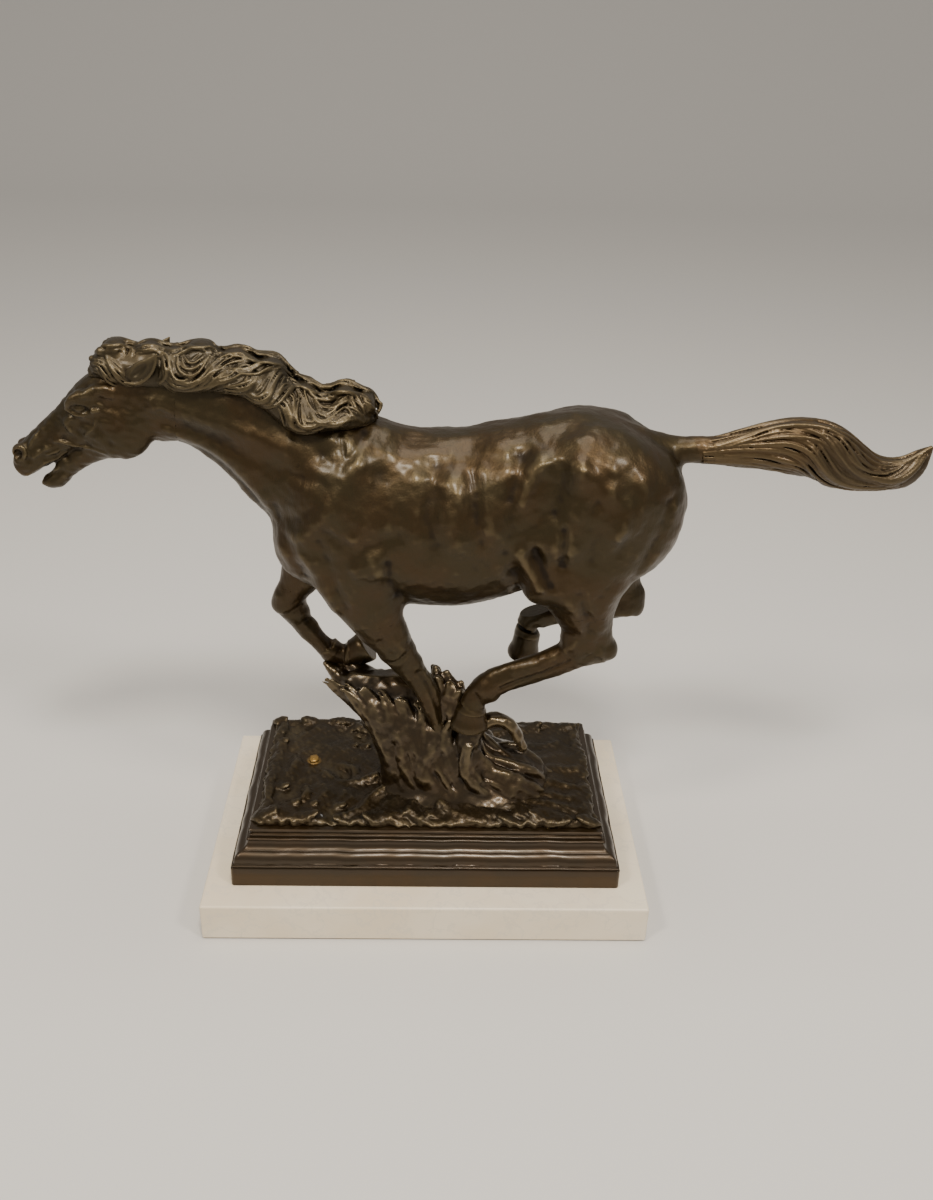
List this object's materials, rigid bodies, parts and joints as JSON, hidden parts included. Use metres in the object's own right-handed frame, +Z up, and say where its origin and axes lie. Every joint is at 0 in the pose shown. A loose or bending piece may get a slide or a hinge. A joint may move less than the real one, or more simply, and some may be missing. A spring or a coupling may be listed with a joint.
{
  "type": "bronze horse statue",
  "caption": "Cast bronze galloping horse, mane and tail streaming, propped on a tree stump over a moulded bronze base, bolted to a white marble plinth.",
  "frame": {"origin": "centre of the underside of the felt, which is the face the statue rests on", "axes": "+Z up; the horse gallops towards -X, its tail points to +X, and its near (left) side faces -Y"},
  "size_m": [0.63, 0.214, 0.4187],
  "materials": {
    "bronze": "lost-wax bronze with a dark brown and olive patina, rubbed to warm gold on edges and raised folds",
    "bronze_rod": "drawn bronze rod, bright where it was cut",
    "marble": "honed white marble with faint grey veins",
    "felt": "dark green baize, pressed",
    "steel": "zinc-plated steel fasteners"
  },
  "bodies": {
    "root": {"felt_sheet": "felt", "marble_plinth": "marble", "base_casting": "bronze", "ground_casting": "bronze", "stump_casting": "bronze", "torso_casting": "bronze", "neck_casting": "bronze", "head_casting": "bronze", "mane_casting": "bronze", "near_fore_leg_casting": "bronze", "off_fore_leg_casting": "bronze", "near_hind_leg_casting": "bronze", "off_hind_leg_casting": "bronze", "tail_casting": "bronze", "plinth_bolts": "steel", "plinth_washers": "steel", "ground_screws": "steel", "stump_bolts": "steel", "leg_dowels": "bronze_rod", "neck_dowels": "bronze_rod", "head_dowels": "bronze_rod", "tail_spigot": "bronze_rod", "mane_pins": "bronze_rod", "hoof_pins": "bronze_rod", "core_pin_plugs": "bronze_rod"}
  },
  "joints": []
}
